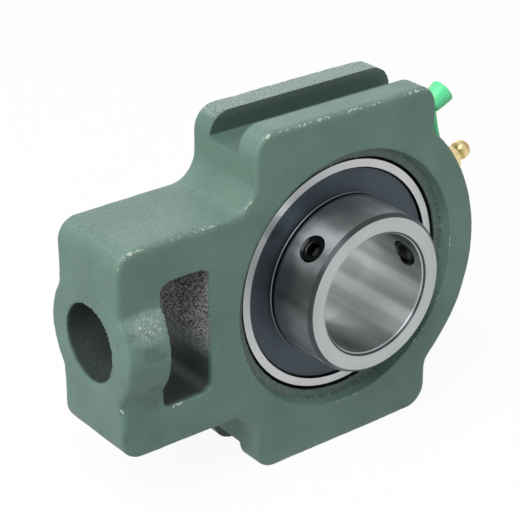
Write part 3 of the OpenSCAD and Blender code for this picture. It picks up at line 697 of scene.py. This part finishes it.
class UNIT_OT_bearing(Operator):
    """Dresses the rings, seals, balls and cage, and builds the slingers"""
    bl_idname = "unit.bearing"
    bl_label = "Bearing insert"

    def execute(self, context):
        look = context.scene.unit_bearing
        balls = [name for name in frame["nodes"] if name.startswith("ball_")]
        bore_edge = 0.3
        bore = MOUNTS["shaft_bore"]["dims"]["r_mm"] + bore_edge
        # Inner ring: bright, with painted reflection streaks along the barrel, dark only on its chamfers
        ring_tones = ((0.15, look.barrel), (0.3, look.chamfer), (0.85, look.chamfer), (0.96, look.inner))
        dress(["inner_ring"], turned_metal("polished_bearing_steel", ring_tones, roughness=0.34, line_mm=0.6,
                                           line_depth=0.15, stretch=0.85, bore_mm=bore, painted_streak=0.5))
        # Outer ring: an even, pale ground face
        outer_tones = ((0.3, look.chamfer), (0.85, look.chamfer), (0.96, look.outer))
        dress(["outer_ring"], turned_metal("ground_bearing_steel", outer_tones, roughness=0.36, line_mm=0.5,
                                           line_depth=0.15, stretch=0.6))
        # Slingers: blue-black sheet, with a painted highlight along the bend and painted shade on the collar
        sheet_tones = ((0.15, look.collar), (0.45, look.bend), (0.7, look.bend), (0.97, look.slinger))
        sheet = turned_metal("blued_sheet_steel", sheet_tones, roughness=0.42, line_mm=0.9, line_depth=0.1,
                             stretch=0.5)
        for name in ("slinger_front", "slinger_rear"):
            points = turned_points(slinger_rows(name, look.bend_r / MM), SHAFT_AXIS, AROUND["slinger"])
            add_grids(name + "_pressed", [(points, True)], "inner_ring", sheet, name)
        # Cage: bright pressed sheet; balls: mirror steel; seals: matt, near black
        pressed = plain_skin("pressed_cage_steel", look.cage, look.outer, roughness=0.35, grain_mm=0.8,
                             metallic=1.0)
        mirror = plain_skin("polished_ball_steel", look.inner, look.outer, roughness=0.12, grain_mm=2.0,
                            metallic=1.0)
        rubber = plain_skin("nitrile_rubber", look.rubber, look.rubber_worn, roughness=0.6, grain_mm=0.6)
        dress(["cage_front", "cage_rear", "cage_rivets"], pressed)
        dress(balls + ["check_ball"], mirror)
        dress(["seal_front", "seal_rear"], rubber)
        return {"FINISHED"}


class ScrewSettings(PropertyGroup):
    """Sizes and finish of the set screws."""
    radius: sized("Radius", "Outside radius of the thread", 4)
    pitch: sized("Pitch", "Pitch of the thread", 1)
    groove: sized("Groove", "Depth of the thread", 0.5)
    socket: sized("Socket", "Width across the socket's flats", 4)
    socket_depth: sized("Socket depth", "Depth of the socket", 3)
    chamfer: sized("Chamfer", "Chamfer at both ends", 0.8)
    oxide: toned("Black oxide", "Set screws", "#2b2d2f")
    oxide_worn: toned("Worn oxide", "Paler tone of the set screws", "#3a3c3e")


def screw_rows(look, low, high):
    """Stations of a set screw: a hollow point, a chamfered thread and a socket with a drilled floor."""
    lead, lead_depth, drill = 0.3, 0.25, 0.4
    r, flat, chamfer = look.radius / MM, look.socket / MM / 2, look.chamfer / MM
    corner = flat / math.cos(math.pi / 6)
    floor = high - look.socket_depth / MM
    shank = ((low + chamfer, 0), (low, r - 2 * chamfer), (low, r - chamfer), (low + chamfer, r),
             (high - chamfer, r), (high, r - chamfer), (high, corner + lead))
    socket = ((high - lead_depth, corner), (floor, corner), (floor - drill, 0))
    rows = np.concatenate([outline_rows(shank, 2 * r, threaded=(3, 4)), outline_rows(socket, flat)])
    return stations(rows, STEP["screw"])


class UNIT_OT_screws(Operator):
    """Builds the two set screws with their threads and sockets"""
    bl_idname = "unit.screws"
    bl_label = "Set screws"

    def execute(self, context):
        look = context.scene.unit_screws
        # Black oxide: near black with a soft metal sheen
        steel = plain_skin("black_oxide_steel", look.oxide, look.oxide_worn, roughness=0.36, grain_mm=0.4,
                           metallic=1.0)
        for name in ("set_screw_1", "set_screw_2"):
            axis = JOINTS[name + "_travel"]["axis"]
            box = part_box(name)
            centre = (0, (box[0].y + box[1].y) / 2, 0)
            rows = screw_rows(look, *reach_along(name, axis))
            points = turned_points(rows, axis, AROUND["screw"], centre, look.pitch / MM, look.groove / MM)
            add_grids(name + "_threaded", [(points, False)], name, steel, name)
        return {"FINISHED"}


class NippleSettings(PropertyGroup):
    """Sizes and finishes of the grease nipple, its check spring and its cap."""
    thread_r: sized("Thread", "Outside radius of the thread", 3)
    pitch: sized("Pitch", "Pitch of the thread", 1)
    groove: sized("Groove", "Depth of the thread", 0.5)
    flats: sized("Hexagon", "Width across the hexagon's flats", 7)
    thread_len: sized("Thread length", "From the foot to the hexagon", 9)
    hex_h: sized("Hexagon height", "Height of the hexagon", 3)
    neck_r: sized("Neck", "Radius of the neck", 2.2)
    head_r: sized("Head", "Radius of the round head", 2.95)
    tip_r: sized("Tip", "Radius of the flat tip", 1.5)
    mouth_r: sized("Mouth", "Radius of the hole in the tip", 0.75)
    chamber_r: sized("Chamber", "Radius of the check ball's chamber", 1.4)
    chamber_len: sized("Chamber length", "Length of the check ball's chamber", 7)
    passage_r: sized("Passage", "Radius of the grease passage", 0.8)
    spring_wire: sized("Spring wire", "Radius of the check spring's wire", 0.18)
    spring_r: sized("Spring", "Middle radius of the check spring", 1.16)
    spring_turns: setting(IntProperty, "Spring turns", "Turns of the check spring", 6)
    ring_r: sized("Cap ring", "Middle radius of the cap's ring", 4.15)
    ring_w: sized("Ring width", "Radial width of the cap's ring", 1.7)
    ring_gap: sized("Ring gap", "Gap under the hexagon", 0.3)
    strap_w: sized("Strap width", "Width of the cap's strap", 3.4)
    strap_t: sized("Strap", "Thickness of the cap's strap and ring", 1.3)
    strap_sag: sized("Strap sag", "How far the strap's middle hangs towards the casting", 0.4)
    cap_away: sized("Cap place", "From the nipple's axis to the cap's closed end", 21)
    cap_rise: sized("Cap rise", "Rise of the closed end over the ring", 1.6)
    cap_lean: angled("Cap lean", "Lean of the cap away from the nipple", 12)
    cap_len: sized("Cap length", "Length of the cap", 6.2)
    rim_r: sized("Cap rim", "Radius of the cap's rolled rim", 3.7)
    cap_wall: sized("Cap wall", "Wall of the cap", 0.7)
    brass: toned("Brass", "Yellow plating of the nipple", "#ecd8a0")
    # Painted shade: deeper tone of the plating on cones and end faces
    brass_painted_shade: toned("Brass, dark", "Deeper tone on the nipple's cones", "#b9a264")
    spring: toned("Spring steel", "Drawn wire of the check spring", "#a2a3a4")
    spring_shade: toned("Spring steel, pale", "Paler tone of the wire", "#c0c4ca")
    cap: toned("Cap", "Cap's plastic", "#7df2b3")
    cap_shade: toned("Cap, deep", "Deeper tone of the cap", "#5ce69a")


def nipple_rows(look, foot, tip):
    """Stations of the grease nipple from its foot over thread, hexagon, neck and head, and back through its
    bore. The head is a ball that the neck and the flat tip cut off."""
    thread, hexagon, flat, neck, head, tip_r, mouth, chamber, passage = (
        value / MM for value in (look.thread_r, look.hex_h, look.flats / 2, look.neck_r, look.head_r,
                                 look.tip_r, look.mouth_r, look.chamber_r, look.passage_r))
    cut, edge, lead, arc = 0.5, 0.3, 0.2, 24
    corner = flat / math.cos(math.pi / 6)
    base = foot + look.thread_len / MM
    top = base + hexagon
    centre = tip - math.sqrt(head ** 2 - tip_r ** 2)
    turn = np.linspace(math.pi - math.asin(neck / head), math.asin(tip_r / head), arc)
    ball = [(centre + head * math.cos(a), head * math.sin(a)) for a in turn]
    chamber_top = tip - cut - (chamber - mouth)
    chamber_floor = chamber_top - look.chamber_len / MM
    outline = (
        (foot, thread - cut), (foot + cut, thread), (base - cut, thread), (base, thread - edge), (base, flat),
        (base + edge, corner), (top - edge, corner), (top, flat), (top, neck + cut), (top + cut, neck), *ball,
        (tip, mouth + lead), (tip - lead, mouth), (tip - cut, mouth), (chamber_top, chamber),
        (chamber_floor, chamber), (chamber_floor, passage), (foot, passage))
    return stations(outline_rows(outline, flat, threaded=(1, 2)), STEP["nipple"])


def rounded(half_a, half_b, count=32):
    """Closed outline of a rounded rectangle: roots of a circle's cosine and sine, times its half sides."""
    turn = np.linspace(0, 2 * math.pi, count, endpoint=False)
    return [half * np.sign(wave) * np.sqrt(np.abs(wave)) for half, wave in
            ((half_a, np.cos(turn)), (half_b, np.sin(turn)))]


def cup_rows(look):
    """Stations of the cap's cup from its closed end over its wall and rolled rim, and back to its floor."""
    length, rim, wall = look.cap_len / MM, look.rim_r / MM, look.cap_wall / MM
    roll_out = 0.25
    grip = rim - roll_out
    outside = ((0, 0), (0, grip - 1.2), (0.15, grip - 0.7), (0.7, grip - 0.4), (length * 0.55, grip))
    roll = ((length - 0.7, rim - 0.05), (length - roll_out, rim), (length, rim - 0.2), (length, rim - wall),
            (length - 0.3, rim - wall - 0.2))
    within = ((length * 0.5, grip - wall), (1.3, grip - wall - 0.4), (wall, grip - wall - 1), (wall, 0))
    return stations(outline_rows(outside + roll + within), STEP["cup"])


def tapered_ends(rows):
    """Rows with the first and the last given twice, and the size of each: 0 at the ends, 1 between."""
    size = np.concatenate([[0], np.ones(len(rows)), [0]])
    return np.concatenate([rows[:1], rows, rows[-1:]]), size


def cap_grids(look, axis, hex_base):
    """Ring, strap and cup of the cap: two turned surfaces and a rounded section along a bowed path."""
    steps, tuck_in, tuck_up = 24, 1.8 * MM, 0.2 * MM
    axis, side = np.array(axis), np.array((0.0, 1.0, 0.0))
    away = np.cross(axis, side) * np.sign(axis[0])
    thick = look.strap_t / MM
    middle = hex_base - look.ring_gap / MM - thick / 2
    width, height = rounded(look.ring_w / MM / 2, thick / 2)
    ring = outline_rows(np.stack([middle + height, look.ring_r / MM + width], axis=1))
    end = away * look.cap_away + axis * (middle * MM - look.strap_t / 2 + look.cap_rise)
    lean = axis * math.cos(look.cap_lean) + away * math.sin(look.cap_lean)
    step = np.linspace(0, 1, steps)[:, None]
    start = away * look.ring_r + axis * middle * MM
    stop = end - away * tuck_in + axis * tuck_up
    path = start * (1 - step) + stop * step - axis * look.strap_sag * np.sin(math.pi * step)
    path, size = tapered_ends(path)
    across, through = rounded(look.strap_w / 2, look.strap_t / 2)
    strap = path[:, None] + size[:, None, None] * (across[:, None] * side + through[:, None] * axis)
    return [(turned_points(ring, axis, AROUND["cap_ring"]), True), (strap, False),
            (turned_points(cup_rows(look), lean, AROUND["cup"], end), False)]


def spring_grid(look, axis, low, high):
    """Points of the check spring in metres: a round wire carried along a helix about the nipple's axis.
    The first and last turns lie closed, and the turns between share the rest of the height."""
    per_turn, around = 30, 12
    wire, turns = look.spring_wire / MM, look.spring_turns
    turn = np.linspace(0, turns, turns * per_turn + 1)
    height = np.interp(turn, (0, 1, turns - 1, turns),
                       (low + wire, low + 3 * wire, high - 3 * wire, high - wire))
    path, size = tapered_ends(np.stack([turn * 2 * math.pi, height], axis=1))
    turn, height = path[:, :1], path[:, 1:]
    section = np.linspace(0, 2 * math.pi, around, endpoint=False)
    axis, side = np.array(axis), np.array((0.0, 1.0, 0.0))
    out = np.cos(turn) * side + np.sin(turn) * np.cross(axis, side)
    reach = look.spring_r / MM + wire * size[:, None] * np.cos(section)
    rise = height + wire * size[:, None] * np.sin(section)
    return MM * (reach[:, :, None] * out[:, None] + rise[:, :, None] * axis)


class UNIT_OT_nipple(Operator):
    """Builds the grease nipple, its check spring and its cap"""
    bl_idname = "unit.nipple"
    bl_label = "Grease nipple"

    def execute(self, context):
        look = context.scene.unit_nipple
        axis = JOINTS["cap_swivel"]["axis"]
        foot, tip = reach_along("grease_nipple", axis)
        # Yellow plating: bright on barrel and flats; the deeper tone on cones and end faces is painted shade
        plating = ((0.1, look.brass), (0.45, look.brass_painted_shade), (0.75, look.brass), (0.97, look.brass_painted_shade))
        plated = turned_metal("yellow_plated_steel", plating, roughness=0.3, line_mm=0.5, line_depth=0.3,
                              stretch=0.3, axis=axis)
        points = turned_points(nipple_rows(look, foot, tip), axis, AROUND["nipple"], ORIGIN, look.pitch / MM,
                               look.groove / MM)
        add_grids("nipple_turned", [(points, True)], "housing", plated, "grease_nipple")
        # Spring: bright drawn wire, which gives a tenth more than the check ball's travel
        low, high = reach_along("check_spring", axis)
        drawn = plain_skin("spring_steel", look.spring, look.spring_shade, roughness=0.3, grain_mm=0.3,
                           metallic=1.0)
        spring = add_grids("check_spring_wound", [(spring_grid(look, axis, low, high), False)], "housing",
                           drawn, "check_spring")
        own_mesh(spring)
        # Cap: soft waxy plastic that glows a little through its wall
        plastic = plain_skin("cap_polyethylene", look.cap, look.cap_shade, roughness=0.4, grain_mm=0.5,
                             subsurface=0.4)
        grids = cap_grids(look, axis, foot + look.thread_len / MM)
        add_grids("cap_moulded", grids, "nipple_cap", plastic, "nipple_cap")
        return {"FINISHED"}


# Studio

class StudioSettings(PropertyGroup):
    """Camera, lamps and floor."""
    azimuth: angled("Azimuth", "Turn of the camera round the unit", -37.57)
    elevation: angled("Elevation", "Height of the camera above the horizon", 26.61)
    roll: angled("Roll", "Turn of the camera about its own axis", -0.19)
    camera: setting(FloatVectorProperty, "Camera", "Place of the camera", (-0.28365, -0.34163, 0.22275),
                    subtype="TRANSLATION")
    lens: setting(FloatProperty, "Lens", "Focal length on a 36 mm sensor", 121.11, unit="CAMERA")
    shift: setting(FloatVectorProperty, "Shift", "Shift of the lens across the picture", (0.0018, 0.0009),
                   size=2)
    key_side: setting(FloatVectorProperty, "Key side", "Direction of the large lamp",
                      (-0.557, -0.239, 0.796), subtype="DIRECTION")
    lamp_away: sized("Lamp distance", "Distance of both lamps", 1600)
    lamp_size: sized("Lamp size", "Width of both lamps", 1200)
    key_power: setting(FloatProperty, "Key power", "Power of the large lamp", 25.0, subtype="POWER")
    fill_side: setting(FloatVectorProperty, "Fill side", "Direction of the weak lamp behind",
                       (0.60, 0.74, 0.30), subtype="DIRECTION")
    fill_power: setting(FloatProperty, "Fill power", "Power of the weak lamp behind", 3.0, subtype="POWER")
    ambient: setting(FloatProperty, "Ambient", "Light from all round", 0.4)
    floor_half: sized("Floor", "Half the width of the floor", 12000)
    paper: toned("Paper", "Deeper tone of the floor's paper", "#fbfbfb")
    paper_pale: toned("Paper, pale", "Paler tone of the floor's paper", "#fdfdfd")
    paper_bounce: toned("Paper, bounce", "Tone of the light that the floor throws back", "#bcbcbc")
    paper_white: setting(FloatProperty, "Paper white", "Share of plain white in direct views", 0.93)


def look_matrix(look):
    """Camera matrix from azimuth, elevation and roll: azimuth 0 looks along +Y."""
    a, e = look.azimuth, look.elevation
    back = Vector((math.sin(a) * math.cos(e), -math.cos(a) * math.cos(e), math.sin(e)))
    right = Vector((math.cos(a), math.sin(a), 0))
    up = back.cross(right)
    turned_right = math.cos(look.roll) * right + math.sin(look.roll) * up
    turned_up = math.cos(look.roll) * up - math.sin(look.roll) * right
    turn = Matrix((turned_right, turned_up, back)).transposed().to_4x4()
    return Matrix.Translation(look.camera) @ turn


def seen_directly(add):
    """1 for camera, glossy and transmission rays, which see the white background itself."""
    path = add("LightPath").outputs
    first = add("Math", {0: path["Is Camera Ray"], 1: path["Is Glossy Ray"]}, operation="MAXIMUM")
    return add("Math", {0: first, 1: path["Is Transmission Ray"]}, operation="MAXIMUM")


def paper_floor(look):
    """White paper: diffuse so that it keeps the unit's shadow, with a share of plain white for direct views.
    Light that it throws back onto the unit is that of a greyer sheet. Its fibres are drawn coarser than real
    ones, which are too fine to show."""
    fibre_mm = 2
    material, add, place = new_material("white_paper")
    seen = seen_directly(add)
    fibre = noise(add, place, fibre_mm, 2.0)
    sheet = ramp(add, fibre, (0.3, look.paper), (0.7, look.paper_pale))
    tone = add("Mix", {"Factor": seen, "A": linear(look.paper_bounce), "B": sheet}, data_type="RGBA")
    paper = add("BsdfDiffuse", {"Color": tone.outputs[2]})
    white = add("Emission", {"Strength": 1.0})
    share = add("Math", {0: seen, 1: look.paper_white}, operation="MULTIPLY")
    mixed = add("MixShader", {0: share, 1: paper, 2: white})
    add("OutputMaterial", {"Surface": mixed})
    return material


def add_lamp(name, place, size, power):
    """A square soft lamp that faces the origin."""
    lamp = bpy.data.lights.new(name, "AREA")
    lamp.shape = "SQUARE"
    lamp.size = size
    lamp.energy = power
    holder = add_object(name, lamp)
    holder.location = place
    holder.rotation_euler = (-place).to_track_quat("-Z", "Y").to_euler()


def add_floor(look):
    """A square sheet of paper under the unit."""
    half, ground = look.floor_half, CAD_BOX[0].z
    mesh = bpy.data.meshes.new("floor")
    corners = [(-half, -half, ground), (half, -half, ground), (half, half, ground), (-half, half, ground)]
    mesh.from_pydata(corners, [], [(0, 1, 2, 3)])
    mesh.materials.append(paper_floor(look))
    add_object("floor", mesh)


def add_world(look):
    """Even light from all round, which direct views see as a plain bright background."""
    world = bpy.data.worlds.new("studio")
    bpy.context.scene.world = world
    world.use_nodes = True
    world.node_tree.nodes.clear()
    add = partial(add_node, world.node_tree)
    level = add("Mix", {"Factor": seen_directly(add), "A": look.ambient, "B": 1.0}, data_type="FLOAT")
    sky = add("Background", {"Strength": level})
    add("OutputWorld", {"Surface": sky})


def add_camera(look):
    """The camera at the photograph's viewing angle."""
    camera = bpy.data.cameras.new("camera")
    camera.lens = look.lens
    camera.shift_x, camera.shift_y = look.shift
    camera.clip_start = 10 * MM
    holder = add_object("camera", camera)
    holder.matrix_world = look_matrix(look)
    bpy.context.scene.camera = holder


class UNIT_OT_studio(Operator):
    """Builds the floor, the lamps, the background and the camera"""
    bl_idname = "unit.studio"
    bl_label = "Studio"

    def execute(self, context):
        look = context.scene.unit_studio
        context.scene.view_settings.view_transform = "Standard"
        add_floor(look)
        add_world(look)
        add_lamp("key", Vector(look.key_side) * look.lamp_away, look.lamp_size, look.key_power)
        add_lamp("fill", Vector(look.fill_side) * look.lamp_away, look.lamp_size, look.fill_power)
        add_camera(look)
        return {"FINISHED"}


class UNIT_PT_panel(Panel):
    """Lists the unit's pieces and its studio"""
    bl_idname = "UNIT_PT_panel"
    bl_label = "Take-up bearing unit"
    bl_space_type = "VIEW_3D"
    bl_region_type = "UI"
    bl_category = "Bearing"

    def draw(self, context):
        for operator in OPERATORS:
            self.layout.operator(operator.bl_idname)


OPERATORS = (UNIT_OT_casting, UNIT_OT_bearing, UNIT_OT_screws, UNIT_OT_nipple, UNIT_OT_studio)
SETTINGS = {
    "unit_casting": CastingSettings,
    "unit_bearing": BearingSettings,
    "unit_screws": ScrewSettings,
    "unit_nipple": NippleSettings,
    "unit_studio": StudioSettings,
}


def register():
    """Registers the settings, the operators and the panel."""
    for name, group in SETTINGS.items():
        bpy.utils.register_class(group)
        setattr(bpy.types.Scene, name, PointerProperty(type=group))
    for kind in (*OPERATORS, UNIT_PT_panel):
        bpy.utils.register_class(kind)


def unregister():
    """Removes what register added."""
    for kind in (UNIT_PT_panel, *reversed(OPERATORS)):
        bpy.utils.unregister_class(kind)
    for name, group in SETTINGS.items():
        delattr(bpy.types.Scene, name)
        bpy.utils.unregister_class(group)


def main():
    """Makes every piece and the studio."""
    register()
    bpy.ops.unit.casting()
    bpy.ops.unit.bearing()
    bpy.ops.unit.screws()
    bpy.ops.unit.nipple()
    bpy.ops.unit.studio()


if __name__ == "__main__":
    main()
